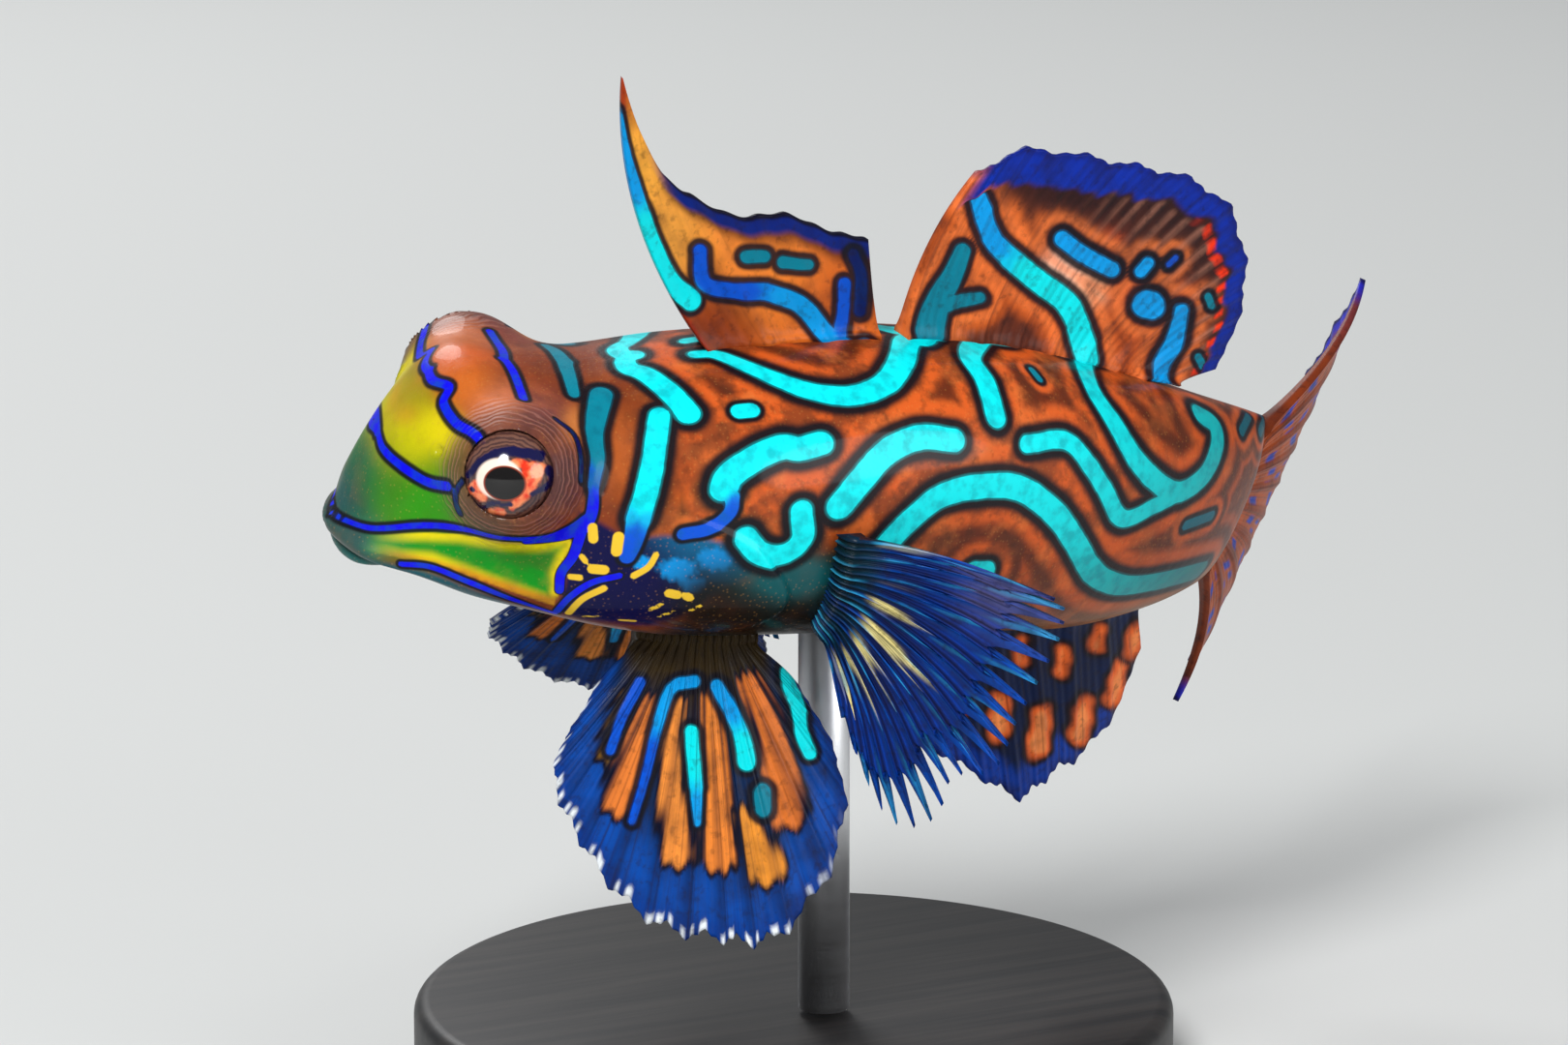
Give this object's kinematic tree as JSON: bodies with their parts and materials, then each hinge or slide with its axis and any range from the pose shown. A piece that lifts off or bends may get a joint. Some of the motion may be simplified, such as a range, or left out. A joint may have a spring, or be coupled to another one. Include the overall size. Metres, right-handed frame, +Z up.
{
  "type": "mandarinfish",
  "caption": "Life-size mandarinfish model in a swimming pose, with fanned fins and raised eyes, held over a flat round base by a short rod.",
  "frame": {"origin": "centre of the underside of the stand's base", "axes": "+Z up, the fish's length runs along X with the snout towards -X, its left side faces -Y"},
  "size_m": [0.0641, 0.0381, 0.0524],
  "materials": {
    "head": "wet gloss",
    "torso": "wet gloss",
    "tail": "wet gloss",
    "eye_left": "polished, clear",
    "eye_right": "polished, clear",
    "first_dorsal_fin": "wet gloss",
    "second_dorsal_fin": "wet gloss",
    "anal_fin": "wet gloss",
    "caudal_fin": "wet gloss",
    "pelvic_fin_left": "wet gloss",
    "pelvic_fin_right": "wet gloss",
    "pectoral_fin_left": "wet gloss",
    "pectoral_fin_right": "wet gloss",
    "stand_base": "satin black",
    "stand_rod": "fine brushed"
  },
  "bodies": {
    "root": {"head": "head", "torso": "torso", "tail": "tail", "eye_left": "eye_left", "eye_right": "eye_right", "first_dorsal_fin": "first_dorsal_fin", "second_dorsal_fin": "second_dorsal_fin", "anal_fin": "anal_fin", "caudal_fin": "caudal_fin", "pelvic_fin_left": "pelvic_fin_left", "pelvic_fin_right": "pelvic_fin_right", "pectoral_fin_left": "pectoral_fin_left", "pectoral_fin_right": "pectoral_fin_right", "stand_base": "stand_base", "stand_rod": "stand_rod"}
  },
  "joints": []
}
